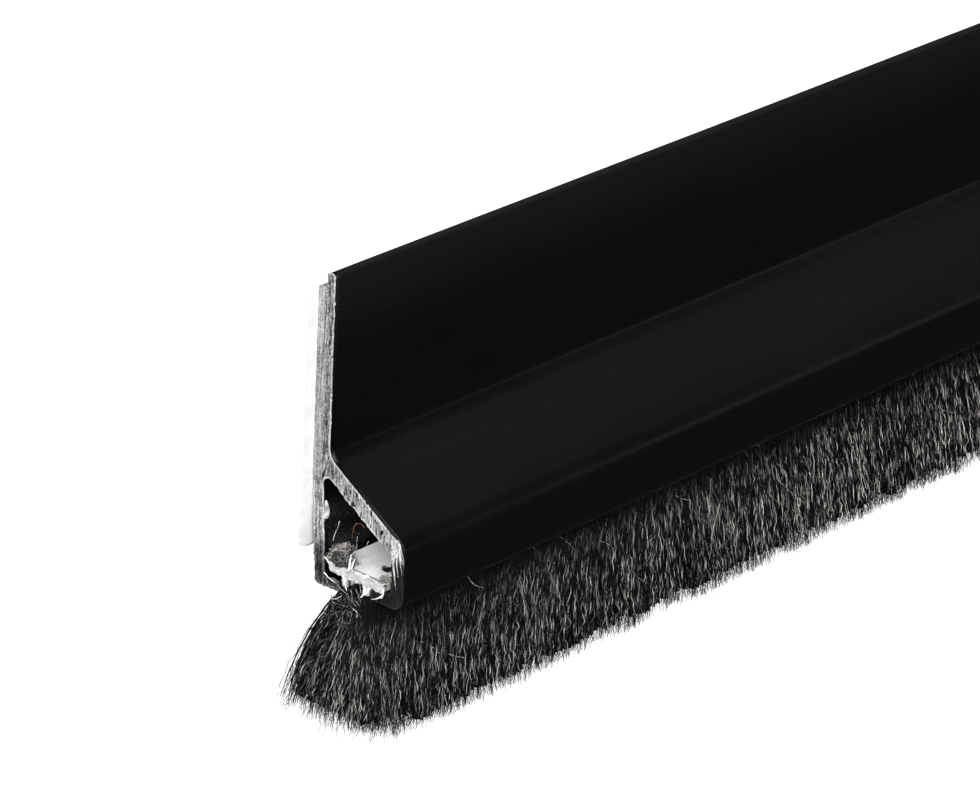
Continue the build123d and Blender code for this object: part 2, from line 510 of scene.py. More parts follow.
def stations_between(start, end, coarse, fine):
    """Places along X that are fine near both ends and coarse between."""
    close = np.array([0, 0.25, 0.6, 1.2, 2.2, 4]) * fine
    middle = np.linspace(start + close[-1], end - close[-1], int((end - start) / coarse) + 1)
    return np.r_[start + close[:-1], middle, end - close[:-1][::-1]]


def drawn_solid(name, corners, gap, wander, shear, materials, slot, replaces, seed):
    """A section drawn along the strip, with stations a gap apart and a cut end finished at either side."""
    outline = rounded_outline(corners)
    following = np.roll(outline, -1, 0)
    twice_area = (outline[:, 0] * following[:, 1] - following[:, 0] * outline[:, 1]).sum()
    outline = outline if twice_area > 0 else outline[::-1]
    coarse, fine = filled_in(outline, PLAIN_GAP), filled_in(outline, CUT_GAP)
    stations = stations_between(NEAR_END, FAR_END, gap, 1 * MM)
    inside = stations + np.where(stations < 0, 0.2 * MM, -0.2 * MM)
    rings = np.empty((len(stations), len(coarse), 3))
    rings[..., 0] = inside[:, None]
    rings[..., 1:] = coarse
    heap = Heap().add(*closed_tube(rings))
    for place, outward in ((NEAR_END, -1), (FAR_END, 1)):
        heap.add(*sheared_end(fine, place, outward, shear, seed + outward))
    heap.piece(name, materials, slot, replaces, wander)


def black_pvc(sizes):
    """Satin black, with faint lines drawn out along the strip, a little handling haze, painted light that
    makes the upper flange lighter, and a sagging hood.
    """
    paint = Paint("Black drawn plastic")
    lines = paint.noise((7, 2400, 2400), 3, 0.6)
    haze = paint.noise((70, 190, 190), 4, 0.62)
    specks = paint.noise((2300, 2300, 2300), 1, 0.5).step(0.72, 0.8)
    height = paint.axis("Z")
    # The step on height paints the upper flange lighter: painted light, not a colour of the plastic.
    tone = 0.2 + haze + 0.6 * lines + 3.4 * height.step(2 * MM, 12 * MM) + 2.5 * specks
    crease = MOUTH + sizes.crease_height
    soft = 1.4 * MM
    under = (height - (crease - soft)).maths("MAXIMUM", 0.0).maths("MINIMUM", soft)
    sag = under * under * 60 + height.step(crease - 6.6 * MM, crease - 3.0 * MM) * (0.45 * MM)
    normal = paint.bump(sag + lines * 0.000012 + haze * 0.000011, 1.0)
    rough = 0.17 + 0.12 * haze + 0.05 * lines
    return paint.finish(Base_Color=paint.scaled(sizes.black, tone), Roughness=rough, Normal=normal,
                        Specular_IOR_Level=0.26)


def sheared_plastic(colour):
    """Frosted cut: streaks dragged downwards by the blade, a pale torn rim, and darker at the foot, more so
    towards the front.
    """
    paint = Paint("Sheared plastic")
    streaks = paint.noise((900, 5200, 620), 3, 0.6)
    grain = paint.noise((7200, 7200, 5200), 3, 0.7)
    gouges = paint.noise((700, 4200, 1300), 2, 0.5).step(0.56, 0.66)
    height, depth = paint.axis("Z"), paint.axis("Y")
    taped = depth.step(-1.4 * MM, -1.25 * MM) * height.step(-9.0 * MM, -8.7 * MM)
    rim = paint.attribute("rim") * (1.0 - taped)
    forward = (depth * -1.0).step(2.2 * MM, 6.5 * MM)
    # Below this height the cut turns darker, more so towards the front.
    unmarked = (height - forward * (1.4 * MM)).step(-15.0 * MM, -13.0 * MM)
    level = streaks * 0.8 + grain * 0.75 + forward * 0.05 - gouges * (0.1 + 0.35 * forward) + rim * 0.22
    frosted = (level - height.step(-7.0 * MM, -5.0 * MM) * 0.05).step(0.54, 1.12)
    foot_streaks = level.step(0.6, 1.3) * (1.0 - forward * 0.9)
    upper = paint.mix(frosted, shade(colour, 0.03), shade(colour, 2.1, 0.9))
    lower = paint.mix(foot_streaks, shade(colour, 0.02), shade(colour, 0.9))
    normal = paint.bump(streaks * 0.6 + grain, 0.0001, 0.9)
    return paint.finish(Base_Color=paint.mix(unmarked, lower, upper), Roughness=0.6, Normal=normal,
                        Specular_IOR_Level=0.03)


def section_corners(sizes):
    """Corners of the carrier's section, in order round it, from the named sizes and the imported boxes."""
    lip_face, foot, top = CARRIER_LOW[1], MOUTH, CARRIER_HIGH[2]
    flange_back = TAPE_LOW[1]
    flange_front = flange_back - sizes.flange_thickness
    wall_back = TAPE_HIGH[1] - 0.1 * MM
    wall_inner = wall_back - sizes.wall
    front_inner = lip_face + sizes.front_wall
    middle = (wall_inner + front_inner) / 2
    crease = foot + sizes.crease_height
    shoulder = TAPE_LOW[2]
    fall = math.tan(sizes.hood_slope)
    under = sizes.hood / math.cos(sizes.hood_slope)
    back_tip, front_tip = middle + sizes.slot / 2, middle - sizes.slot / 2
    front_foot = foot + sizes.lip_raise
    inner_front = crease - (flange_front - front_inner) * fall - under
    inner_back = crease - (flange_front - wall_inner) * fall - under
    return [
        (flange_back, top, sizes.top_edge),
        (flange_front, top, sizes.top_edge),
        (flange_front, crease, sizes.crease),
        (lip_face, crease - (flange_front - lip_face) * fall, sizes.hood_corner),
        (lip_face, front_foot, sizes.front_corner),
        (front_tip, front_foot, sizes.lip_tip),
        (front_tip, front_foot + sizes.lip, sizes.lip_tip),
        (front_inner, front_foot + sizes.lip, sizes.channel_corner),
        (front_inner, inner_front, sizes.channel_corner),
        (wall_inner, inner_back, sizes.channel_corner),
        (wall_inner - sizes.wall_lean, foot + sizes.lip, sizes.channel_corner),
        (back_tip, foot + sizes.lip, sizes.lip_tip),
        (back_tip, foot, sizes.lip_tip),
        (wall_back - sizes.wall_lean, foot, 0.4 * MM),
        (wall_back, shoulder, 0.15 * MM),
        (flange_back, shoulder, 0.05 * MM),
    ]


class STRIP_OT_carrier(bpy.types.Operator):
    """Draws the black profile in place of the plain solid, with sheared, frosted ends"""
    bl_idname = "strip.carrier"
    bl_label = "Black profile"

    def execute(self, context):
        sizes = context.scene.strip_carrier

        def wander(x, y, z):
            """The free flange edge and the front lip stray by a few hundredths of a millimetre."""
            free = np.clip((z - TAPE_LOW[2]) / (CARRIER_HIGH[2] - TAPE_LOW[2]), 0, 1) ** 2
            lip = np.clip((CARRIER_LOW[1] + 2.5 * MM - y) / (2.5 * MM), 0, 1)
            stray = 0.03 * MM
            return (-stray * free * (1 + waves(x, 3, 6, 210 * MM, 24 * MM)),
                    stray * lip * (1 + waves(x, 4, 6, 180 * MM, 18 * MM)))

        materials = [black_pvc(sizes), sheared_plastic(sizes.frosted)]
        shear = (sizes.burr, 0.03 * MM, 0.16 * MM)
        drawn_solid("black_profile", section_corners(sizes), 11 * MM, wander, shear, materials, "black_pvc",
                    ["carrier_profile"], 11)
        return {"FINISHED"}


class STRIP_OT_flaps(bpy.types.Operator):
    """Leaves the skin that the shears dragged down over the front wall, as pale tapering flaps"""
    bl_idname = "strip.flaps"
    bl_label = "Dragged skin"

    def execute(self, context):
        # Root, middle and tip as depth and height, and width, in millimetres
        flaps = (
            ((-9.15, -11.35), (-9.45, -12.50), (-9.55, -13.70), 0.26),
            ((-9.35, -11.20), (-9.62, -12.90), (-9.90, -15.45), 0.34),
            ((-9.60, -11.10), (-9.95, -12.40), (-10.10, -14.30), 0.36),
            ((-9.85, -11.05), (-10.30, -12.20), (-10.56, -13.95), 0.32),
            ((-10.0, -11.30), (-10.38, -12.30), (-10.62, -12.95), 0.22),
        )
        part = np.linspace(0, 1, 14)
        heap = Heap()
        for number, (*control, width) in enumerate(flaps):
            line = bent_line(control, part, 0.05 + 0.28 * np.sin(part * 2.2) ** 2 * (1 - 0.4 * part))
            line[:, 1] += 0.02 * MM * waves(part, 300 + number, 5, 0.8, 0.12)
            half = width / 2 * (1 - part ** 1.6) * (1 + 0.2 * waves(part, 310 + number, 5, 0.7, 0.1))
            heap.add(*ribbon(line, np.maximum(half, 0.015) * MM, 0.035 * MM))
        grain = ((6000, 6000, 2600), 3, 0.7, 1.0, 1.0)
        skin = two_tone("Dragged skin", (0.14, 0.14, 0.14), (0.72, 0.72, 0.71), [grain], 1 / 3, 2 / 3,
                        (0.0001, 0.8), Roughness=0.6)
        heap.piece("dragged_skin", [skin], "black_pvc")
        return {"FINISHED"}


def foam(colour):
    """Closed-cell foam: dark skin, with burst cells that show as pale specks where it is cut."""
    paint = Paint("Grey foam")
    cells = paint.cells((6200, 6200, 4600))
    grain = paint.noise((5200, 5200, 3600), 3, 0.7)
    streaks = paint.noise((900, 3600, 300), 2, 0.5)
    speckled = (cells * 0.3 + grain * 0.7 + streaks * 0.7 - 0.35).step(0.1, 1.0)
    base = paint.mix(speckled, shade(colour, 0.7), shade(colour, 6.0, 0.75))
    normal = paint.bump(cells + grain * 0.5, 0.0001, 0.7)
    return paint.finish(Base_Color=base, Roughness=0.85, Normal=normal, Specular_IOR_Level=0.2)


class STRIP_OT_tape(bpy.types.Operator):
    """Lays the foam tape in the recess behind the flange"""
    bl_idname = "strip.tape"
    bl_label = "Foam tape"

    def execute(self, context):
        inner, outer = TAPE_LOW[1] - 0.08 * MM, TAPE_HIGH[1]
        foot, top = TAPE_LOW[2], TAPE_HIGH[2]
        corners = [(inner, foot, 0.05 * MM), (outer, foot, 0.12 * MM),
                   (outer, top, 0.2 * MM), (inner, top, 0.05 * MM)]

        def wander(x, y, z):
            """The foam's outer face dimples a little between its bonds, always inwards."""
            share = np.clip((y - inner) / (outer - inner), 0, 1)
            return -0.03 * MM * share * (1 + waves(x + 3 * z, 21, 7, 40 * MM, 5 * MM)) / 2, 0 * z

        grey = foam(context.scene.strip_tape.foam)
        drawn_solid("foam_tape", corners, 8 * MM, wander, (0.015 * MM, 0.02 * MM, 0.12 * MM), [grey, grey],
                    "grey_foam", ["adhesive_foam_tape"], 31)
        return {"FINISHED"}


class STRIP_OT_liner(bpy.types.Operator):
    """Hangs the peel-off liner on the tape, proud of the ends and curling away below it

    It is a grid of lines along the strip, each as long as the rounded corners leave it. Below the tape it
    stands off by the square of the drop over twice the curl's radius, and flutters a little.
    """
    bl_idname = "strip.liner"
    bl_label = "Release liner"

    def execute(self, context):
        sizes = context.scene.strip_tape
        top, shoulder, bottom = LINER_HIGH[2], TAPE_LOW[2], LINER_LOW[2]
        thickness = -TAPE_HIGH[1]
        corner, tail_corner = sizes.liner_corner, sizes.tail_corner
        z = np.r_[np.linspace(top, top - corner, 9),
                  np.linspace(top - corner, bottom + tail_corner, 30)[1:],
                  np.linspace(bottom + tail_corner, bottom, 11)[1:]]
        upper = np.maximum(1 - (top - z) / corner, 0)
        lower = np.maximum(1 - (z - bottom) / tail_corner, 0)
        cut_back = 2 - np.sqrt(1 - upper ** 2) - np.sqrt(np.maximum(1 - lower ** 2, 0))
        x = stations_between(-1, 1, 0.016, 0.0016)[:, None] * (LINER_HIGH[0] - corner * cut_back)
        down = np.maximum(shoulder - z, 0)
        uneven = 0.78 + 0.22 * waves(x, 43, 5, 300 * MM, 70 * MM) / 2
        uneven = np.where(np.abs(x) > FAR_END - 20 * MM, 0.5, np.clip(uneven, 0.6, 1))
        tail = down ** 2 / (2 * sizes.liner_curl) * uneven
        lift = np.maximum(np.abs(x) - FAR_END, 0) ** 2 * 40 * np.clip(down / (4 * MM) + 0.25, 0, 1)
        flutter = down / (6 * MM) * 0.1 * MM * (1 + waves(x, 41, 8, 90 * MM, 8 * MM))
        y = np.minimum(tail + lift + flutter, LINER_HIGH[1] - 0.01 * MM)
        z = np.broadcast_to(z, x.shape)
        sides = [np.stack([x, y - setback, z], 2).reshape(-1, 3) for setback in (0, thickness)]
        number = np.arange(x.size).reshape(x.shape)
        quads = np.stack([number[:-1, :-1], number[1:, :-1], number[1:, 1:], number[:-1, 1:]], -1)
        quads = quads.reshape(-1, 4)
        edge = np.r_[number[0, :-1], number[:-1, -1], number[-1, :0:-1], number[:0:-1, 0]]
        rim = band(edge, edge + x.size)
        faces = [(quads, 0, True), (quads[:, ::-1] + x.size, 0, True), (rim, 0, False)]
        # The creases give the bump and also paint the liner greyer in them: painted shade.
        creases_and_shade = ((210, 420, 420), 3, 0.55, 0.7, 1.0)
        fibre = ((1900, 1900, 1900), 2, 0.6, 0.3, 0.3)
        film = two_tone("White liner", shade(sizes.paper, 0.9), sizes.paper, [creases_and_shade, fibre], 0.34, 0.58,
                        (0.00025, 0.5), Roughness=0.5, Specular_IOR_Level=0.4)
        make_piece("liner_film", np.concatenate(sides), faces, [film], ["release_liner"])
        return {"FINISHED"}


def white_strip(colour):
    """Smooth white polypropylene, greyer in its hollows as painted shade, with a painted shadow of the front
    wall by the cut end.
    """
    paint = Paint("White backing")
    cloud = paint.noise((420, 900, 900), 3, 0.6)
    # The clouds paint the hollows greyer: painted shade, matched to the bump.
    unmarked = paint.mix(cloud.step(0.3, 0.7), shade(colour, 0.82), colour)
    ragged = paint.noise((1300, 1300, 1300), 3, 0.7) * (1.2 * MM) - 0.6 * MM
    # A nearly black patch by the cut end: painted shadow of the front wall on the strip.
    shadow_x, shadow_y = NEAR_END + 2.6 * MM, BACKING_LOW[1] + 1.7 * MM
    half_length, half_width = 0.62 * MM, 0.8 * MM
    along = (paint.axis("X") - shadow_x + ragged) * (1 / half_length)
    across = (paint.axis("Y") - shadow_y + ragged) * (1 / half_width)
    painted_shadow = 1.0 - (along * along + across * across).step(0.5, 1.0)
    base = paint.mix(painted_shadow, unmarked, (0.01, 0.01, 0.01))
    return paint.finish(Base_Color=base, Roughness=0.42, Normal=paint.bump(cloud, 0.00008, 0.5))


class STRIP_OT_backing(bpy.types.Operator):
    """Slides the white strip with its two ribs into the channel, with slivers torn from its cut end"""
    bl_idname = "strip.backing"
    bl_label = "Brush backing"

    def execute(self, context):
        sizes = context.scene.strip_tape
        low, high = BACKING_LOW[1], BACKING_HIGH[1]
        foot, top = BACKING_LOW[2], BACKING_HIGH[2]
        seat = top - sizes.backing
        corners = [(low, top, 0.15 * MM), (low, seat, 0.15 * MM)]
        for side in (-1, 1):
            rib = (low + high) / 2 + side * sizes.rib_spacing / 2
            front, back = rib - sizes.rib / 2, rib + sizes.rib / 2
            corners += [(front, seat, 0.05 * MM), (front, foot, 0.15 * MM),
                        (back, foot, 0.15 * MM), (back, seat, 0.05 * MM)]
        corners += [(high, seat, 0.15 * MM), (high, top, 0.15 * MM)]
        white = white_strip(sizes.white)
        # Streaks and grain on the cut end, which is also painted darker than the white: partly its grain,
        # partly painted shade.
        streaks = ((900, 900, 4200), 4, 0.65, 0.6, 1.0)
        grain = ((5200, 5200, 5200), 3, 0.7, 0.6, 1.0)
        cut = two_tone("Cut backing", shade(sizes.white, 0.36), shade(sizes.white, 0.82), [streaks, grain],
                       0.4, 0.85, (0.00012, 0.8), Roughness=0.55)
        drawn_solid("white_backing_strip", corners, 14 * MM, None, (0.02 * MM, 0.07 * MM, 0.08 * MM),
                    [white, cut], "white_backing", ["brush_backing"], 61)
        # Root, middle and tip as depth and height, and width, in millimetres
        slivers = (
            ((-4.60, -15.60), (-4.80, -14.70), (-4.95, -14.00), 0.30),
            ((-4.95, -15.60), (-5.05, -14.60), (-5.45, -14.15), 0.22),
            ((-3.95, -16.30), (-4.35, -16.90), (-4.55, -17.45), 0.34),
            ((-6.35, -16.40), (-6.60, -16.95), (-6.20, -17.45), 0.34),
            ((-6.95, -16.45), (-6.80, -16.80), (-6.50, -17.20), 0.30),
            ((-8.55, -16.30), (-8.25, -16.95), (-7.30, -17.25), 0.15),
            ((-8.40, -16.00), (-8.65, -16.35), (-8.45, -16.80), 0.22),
            ((-2.35, -15.70), (-2.25, -15.35), (-1.95, -15.20), 0.22),
            ((-1.92, -16.70), (-2.33, -17.12), (-3.45, -17.13), 0.13),
            ((-6.30, -15.65), (-6.60, -15.30), (-7.10, -15.35), 0.35),
        )
        part = np.linspace(0, 1, 12)
        heap = Heap()
        for number, (*control, width) in enumerate(slivers):
            past = 0.12 + 0.12 * part - 0.03 * waves(part, 330 + number, 4, 0.9, 0.2)
            uneven = 1 + 0.22 * waves(part, 340 + number, 5, 0.7, 0.1)
            half = 0.85 * width / 2 * (1 - 0.75 * part ** 2) * uneven
            heap.add(*ribbon(bent_line(control, part, past), np.maximum(half, 0.02) * MM, 0.05 * MM))
        heap.piece("torn_slivers", [white], "white_backing")
        return {"FINISHED"}


def filament(name, dark, pale):
    """Thin strand whose pale runs follow the glint worked out for it; on the brush these runs are painted
    highlights.
    """
    paint = Paint(name)
    base = paint.mix(paint.attribute("glint"), dark, pale)
    return paint.finish(Base_Color=base, Roughness=0.45, Specular_IOR_Level=0.12)


def strand_faces(count, rings):
    """Vertex numbers of count closed tubes, each of rings rings of three points."""
    ring = np.arange(rings - 1)[:, None] * STRAND_SIDES
    side = np.arange(STRAND_SIDES)
    following = (side + 1) % STRAND_SIDES
    above = ring + STRAND_SIDES
    quads = np.stack([ring + side, ring + following, above + following, above + side], -1).reshape(-1, 4)
    start = np.arange(count)[:, None, None] * rings * STRAND_SIDES
    last = (rings - 1) * STRAND_SIDES
    caps = np.array([[2, 1, 0], [last, last + 1, last + 2]])
    return (quads + start).reshape(-1, 4), (caps + start).reshape(-1, 3)


def strand_chart(count, rings):
    """A map with one upright cell for each tube, so that no two faces share a place."""
    columns = math.ceil(math.sqrt(count * 8))
    rows = math.ceil(count / columns)
    number = np.arange(count)[:, None, None]
    cell = np.stack([(number % columns) / columns, (number // columns) / rows], -1)
    size = np.array([1 / columns, 1 / rows])
    ring, side = np.meshgrid(np.arange(rings - 1), np.arange(STRAND_SIDES), indexing="ij")
    across = np.stack([side, side + 1, side + 1, side], -1).reshape(-1, 4) / STRAND_SIDES
    up = np.stack([ring, ring, ring + 1, ring + 1], -1).reshape(-1, 4) / (rings - 1)
    quads = cell + np.stack([0.06 + 0.88 * across, 0.04 + 0.92 * up], -1) * size
    cap = np.array([[0.2, 0.0], [0.8, 0.0], [0.5, 0.03]])
    caps = cell + np.stack([cap, cap + (0, 0.97)]) * size
    return np.concatenate([quads.reshape(-1, 2), caps.reshape(-1, 2)])


def make_strands(name, line, radius, glint, material):
    """Thin closed tubes along lines.

    line has the shape (strands, rings, 3). Each ring is three points round the line, in the plane across
    the strand's mean direction, at the radius, and glint is how pale the strand is there.
    """
    count, rings, _ = line.shape
    radius, glint = (np.broadcast_to(value, (count, rings))[..., None] for value in (radius, glint))
    random = np.random.default_rng(count + rings)
    run = line[:, -1] - line[:, 0]
    run /= np.linalg.norm(run, axis=1)[:, None]
    side = np.cross(run, (0.0, 1.0, 0.0))
    side /= np.linalg.norm(side, axis=1)[:, None]
    other = np.cross(run, side)
    turn = random.uniform(0, 2 * math.pi, (count, 1)) + np.arange(STRAND_SIDES) * 2 * math.pi / STRAND_SIDES
    spoke = np.cos(turn)[..., None] * side[:, None] + np.sin(turn)[..., None] * other[:, None]
    points = line[:, :, None] + radius[..., None] * spoke[:, None]
    quads, caps = strand_faces(count, rings)
    make_piece(name, points, [(quads, 0, True), (caps, 0, True)], [material],
               values={"glint": np.repeat(glint, STRAND_SIDES, 2)}, chart=strand_chart(count, rings))


def looping_lines(random, places, length, rings, curl):
    """Lines that start at places and turn at random: the direction drifts by curl radians a step."""
    count = len(places)
    heading = random.uniform(0, 2 * math.pi, (count, 1)) + random.normal(0, curl, (count, rings)).cumsum(1)
    heading += random.normal(0, curl, (count, 1)) * np.arange(rings)
    pitch = random.uniform(-0.8, 0.8, (count, 1)) + random.normal(0, curl / 2, (count, rings)).cumsum(1)
    step = np.stack([np.sin(pitch), np.cos(heading) * np.cos(pitch), np.sin(heading) * np.cos(pitch)], 2)
    return places[:, None] + np.cumsum(step * (length / rings)[..., None], 1)


class STRIP_OT_fluff(bpy.types.Operator):
    """Leaves a mound of fluff, dust and a few stray fibres in the open channel"""
    bl_idname = "strip.fluff"
    bl_label = "Fluff and dust"

    def execute(self, context):
        fibre = context.scene.strip_tape.fluff
        random = np.random.default_rng(500)
        in_mound, in_plug, grains = 460, 150, 170
        turn = random.uniform(-0.15, math.pi + 0.15, in_mound)
        out = random.uniform(0.82, 1.1, in_mound)
        mound = at_near_end(random.uniform(0.0, 1.3, in_mound), -3.25 - 1.3 * np.cos(turn) * out,
                            -15.65 + 1.45 * np.sin(turn) * out)
        spread = random.uniform(-1, 1, (in_plug, 3)) * (0.3, 0.45, 0.3)
        plug = at_near_end(*(spread + (0.35, -8.35, -15.3)).T)
        places = np.concatenate([mound, plug])
        count = len(places)
        lines = looping_lines(random, places, random.uniform(0.12, 0.6, (count, 1)) * MM, 8, 0.5)
        radius = random.uniform(0.012, 0.03, (count, 1)) * MM
        glint = np.clip(random.beta(0.8, 1.4, (count, 1)) + random.normal(0, 0.1, (count, 8)), 0, 1)
        material = filament("Fluff", shade(fibre, 0.12), shade(fibre, 2))
        make_strands("channel_fluff", lines, radius, glint, material)

        # Dust clings to the back wall, and lies under the hood's slope
        ahead, away, down = random.uniform(0, 1, (grains, 3)).T
        wall = CARRIER_HIGH[1] / MM - 1.22
        y = wall - 0.25 * away - 4.2 * away ** 2
        z = np.minimum(-10.4 - 4.6 * down, -8.3 - 0.62 * (wall - y))
        places = at_near_end(0.1 + 5 * ahead ** 2, y, z)
        specks = looping_lines(random, places, random.uniform(0.02, 0.06, (grains, 1)) * MM, 3, 0.4)
        radius = random.uniform(0.008, 0.022, (grains, 1)) * MM
        make_strands("channel_dust", specks, radius, random.uniform(0.1, 1.0, (grains, 3)),
                     filament("Dust", (0.12, 0.12, 0.12), (0.8, 0.79, 0.77)))

        # Radius, and control points as depth and height, in millimetres
        pale = (
            (0.032, (-2.64, -13.6), (-2.60, -13.1), (-3.15, -12.4), (-3.24, -11.6)),
            (0.020, (-5.28, -12.3), (-5.22, -12.9), (-5.30, -13.4), (-5.24, -14.0)),
            (0.020, (-6.51, -12.3), (-6.30, -13.0), (-6.05, -13.7), (-5.93, -14.4)),
            (0.026, (-2.60, -14.6), (-3.10, -14.1), (-3.60, -14.2), (-4.10, -13.3)),
        )
        red = ((0.022, (-4.72, -12.5), (-4.70, -11.2), (-5.50, -10.7), (-6.15, -11.3)),)
        for name, strays, *tint in (("pale_strays", pale, (0.2, 0.19, 0.18), (0.85, 0.83, 0.8)),
                                    ("red_stray", red, (0.05, 0.02, 0.012), (0.42, 0.19, 0.12))):
            part = np.linspace(0, 1, 20)
            line = np.stack([bent_line(control, part, -0.05) for _, *control in strays])
            line += random.normal(0, 0.012 * MM, line.shape)
            radius = np.array([[thick * MM] for thick, *_ in strays])
            glint = np.clip(0.6 + 0.4 * random.normal(0, 1, line.shape[:2]), 0, 1)
            make_strands(name, line, radius, glint, filament(name.replace("_", " "), *tint))
        return {"FINISHED"}


class STRIP_OT_lumps(bpy.types.Operator):
    """Sets the dark clot that the fluff sits on, which paints the shade of the hollow under the fluff, and
    the lump of glue on the back wall

    The clot is a knobbly egg: rings of latitude, each point moved out by a sum of sines. The glue is an
    upright drop, whose rings swell by the root of a sine.
    """
    bl_idname = "strip.lumps"
    bl_label = "Clot and glue"

    def execute(self, context):
        sizes = context.scene.strip_tape
        turn = np.linspace(0, 2 * math.pi, 48, endpoint=False)
        up = np.linspace(0.06, math.pi - 0.06, 24)[:, None]
        knobs = 1 + 0.09 * waves(turn + 3 * up, 350, 7, 2.5, 0.3) * np.sin(up)
        girth = knobs * np.sin(up)
        clot = at_near_end(0.70 + 0.85 * girth * np.cos(turn), -3.35 + 1.05 * girth * np.sin(turn),
                           -15.30 - 0.85 * knobs * np.cos(up))
        mottles = ((5200, 5200, 5200), 4, 0.7, 1.0, 1.0)
        # The clot's nearly black colour is painted shade of the hollow under the fluff; its mottles take the
        # fluff's colour.
        hollow_shade_clot = two_tone("Dark clot", (0.006, 0.0055, 0.005), sizes.fluff, [mottles], 0.47, 0.82,
                           (0.0002, 1.0), Roughness=0.9)
        Heap().add(*closed_tube(clot)).piece("dark_clot", [hollow_shade_clot], "charcoal_pile")

        part = np.linspace(0, 1, 16)[:, None]
        turn = np.linspace(0, 2 * math.pi, 14, endpoint=False)
        swell = np.sqrt(np.sin(math.pi * np.clip(part, 0.004, 0.996) ** 1.5))
        lump = at_near_end(0.28 + 0.30 * swell * np.sin(turn), -1.50 + 0.36 * swell * np.cos(turn),
                           -10.35 - 1.75 * part)
        clouds = ((1500, 1500, 1100), 2, 0.5, 1.0, 0.0)
        glue = two_tone("Glue", shade(sizes.glue, 0.3), sizes.glue, [clouds], 0.3, 0.7, Roughness=0.22)
        Heap().add(*closed_tube(lump)).piece("glue_lump", [glue], "white_backing")
        return {"FINISHED"}


def pile_lines(random, x, across, rings, sizes):
    """Lines of filaments from their place along the strip and across it (-1 front to 1 back), as columns.

    Each starts inside the slot and falls to the tips. Across the strip it flares fast at first and then
    runs nearly straight. Near a cut end it leans outwards by an angle that is largest at the slot and eases
    off towards the tip, and is longer by as much as the lean takes off its fall. Filaments are drawn
    together in bunches and in wider locks, and end at an uneven length that the locks share. The crimp is a
    zigzag of random size at every ring, on top of a slower random walk.
    """
    part = np.linspace(0, 1, rings)
    slot_half = bpy.context.scene.strip_carrier.slot / 2 - 0.12 * MM
    start = BACKING_LOW[2] + 0.1 * MM
    group = np.round(x / sizes.bunch) + 1000 * np.round(across * 4)
    chance = np.sin(group * 12.9898) * 43758.5453 % 1
    other = np.sin(group * 78.233) * 12543.123 % 1
    locks = waves(x, 81, 5, 2.4 * sizes.lock, 0.5 * sizes.lock)
    nearest = np.minimum(x - NEAR_END, FAR_END - x)
    ended = np.clip(1 - nearest / sizes.splay_reach, 0, 1) ** 1.4
    drifting = np.clip(2.0 - nearest / sizes.drift_reach, 0, 1)
    fall = (start - TIPS) * (0.958 + 0.058 * chance + 0.026 * locks + random.normal(0, 0.012, x.shape))
    fall *= 1 - 0.18 * ended - 0.03 * drifting
    lean = sizes.splay * ended + sizes.drift * drifting * (1 - 0.4 * ended)
    bend = lean * random.uniform(0.4, 1.05, x.shape) * (1.9 - 1.65 * part) * np.clip(part * 9, 0, 1)
    step = fall / np.cos(bend[:, 1:]).sum(1, keepdims=True)
    sideways = np.cumsum(np.sin(bend) * step, 1) - np.sin(bend[:, :1]) * step
    drop = np.cumsum(np.cos(bend) * step, 1) - np.cos(bend[:, :1]) * step
    centre = (np.round(x / sizes.bunch) + 0.5 * (other - 0.5)) * sizes.bunch
    parting = 3.1 * sizes.bunch
    lock_centre = (np.round(x / parting + 0.3 * across) - 0.3 * across) * parting
    pull = (0.45 * (centre - x) + 0.3 * (lock_centre - x)) * part ** 2 + (chance - 0.5) * MM * part
    zigzag = random.normal(0, 1, (2, len(x), rings))
    walk = np.cumsum(zigzag[::-1] - zigzag[::-1].mean(2, keepdims=True), 2) * 0.3
    wander = sizes.crimp * (zigzag + walk) * np.clip(part * 9, 0.1, 1) * (1 + 0.5 * part ** 4)
    stray = np.where(random.uniform(0, 1, x.shape) < 0.16, 1.9, 0.75) * random.normal(0, 1, x.shape) * MM
    stray *= 1 - 0.6 * ended
    side = across * (slot_half + (BRUSH_HALF - slot_half) * flare(part))
    line = np.empty((len(x), rings, 3))
    line[..., 0] = x + np.where(x < 0, -1, 1) * sideways + pull + wander[0] + stray * part
    line[..., 1] = BRUSH_MIDDLE + side + wander[1] + random.normal(0, 0.15 * MM, x.shape) * part
    line[..., 1] = np.clip(line[..., 1], PILE_LOW[1] - 0.15 * MM, PILE_HIGH[1] + 0.15 * MM)
    line[..., 2] = np.maximum(start - drop, TIPS)
    return line


def glints(random, count, rings, share, root):
    """How pale each strand is along its length: painted highlights, in bright runs of one or two rings on
    some of the strands.

    They start at root, below the lips, and grow brighter downwards, which paints the shade of the lips; they
    are brightest just above the tips.
    """
    strand = np.clip(random.normal(share, 0.42, (count, 1)), 0, 1)
    spots = random.normal(0, 1, (count, rings + 1))
    spots = (spots[:, :-1] + 0.35 * spots[:, 1:]) / 1.06
    part = np.linspace(0, 1, rings)
    shown = np.clip((part - root) / 0.16, 0, 1) * (0.3 + 0.85 * part) * (1 - 0.35 * part ** 8)
    return np.clip((spots - 0.56) * 2.3, 0, 1) * strand * shown


def dark_pile(sizes):
    """Heart of the brush: nearly black, with short pale dashes, painted highlights that wander as they fall,
    kept out of the painted shade under the lips.
    """
    paint = Paint("Brush core")
    height = paint.axis("Z")
    along = paint.axis("X") * 7500 + paint.noise((700, 400, 1300), 2, 0.5) * 3.2
    where = paint.add("ShaderNodeCombineXYZ", None, [along, paint.axis("Y") * 500, height * 850])
    shadow = height.step(MOUTH - 3 * MM, MOUTH - 0.5 * MM)
    # The dashes are painted highlights, and the shadow mask paints the lips' shade over them.
    dashes = paint.noise(where, 2, 0.6).step(0.56, 0.72) * (1.0 - shadow) * 0.4
    base = paint.mix(dashes, shade(sizes.dark, 0.6), sizes.pale)
    return paint.finish(Base_Color=base, Roughness=0.8, Specular_IOR_Level=0.1)


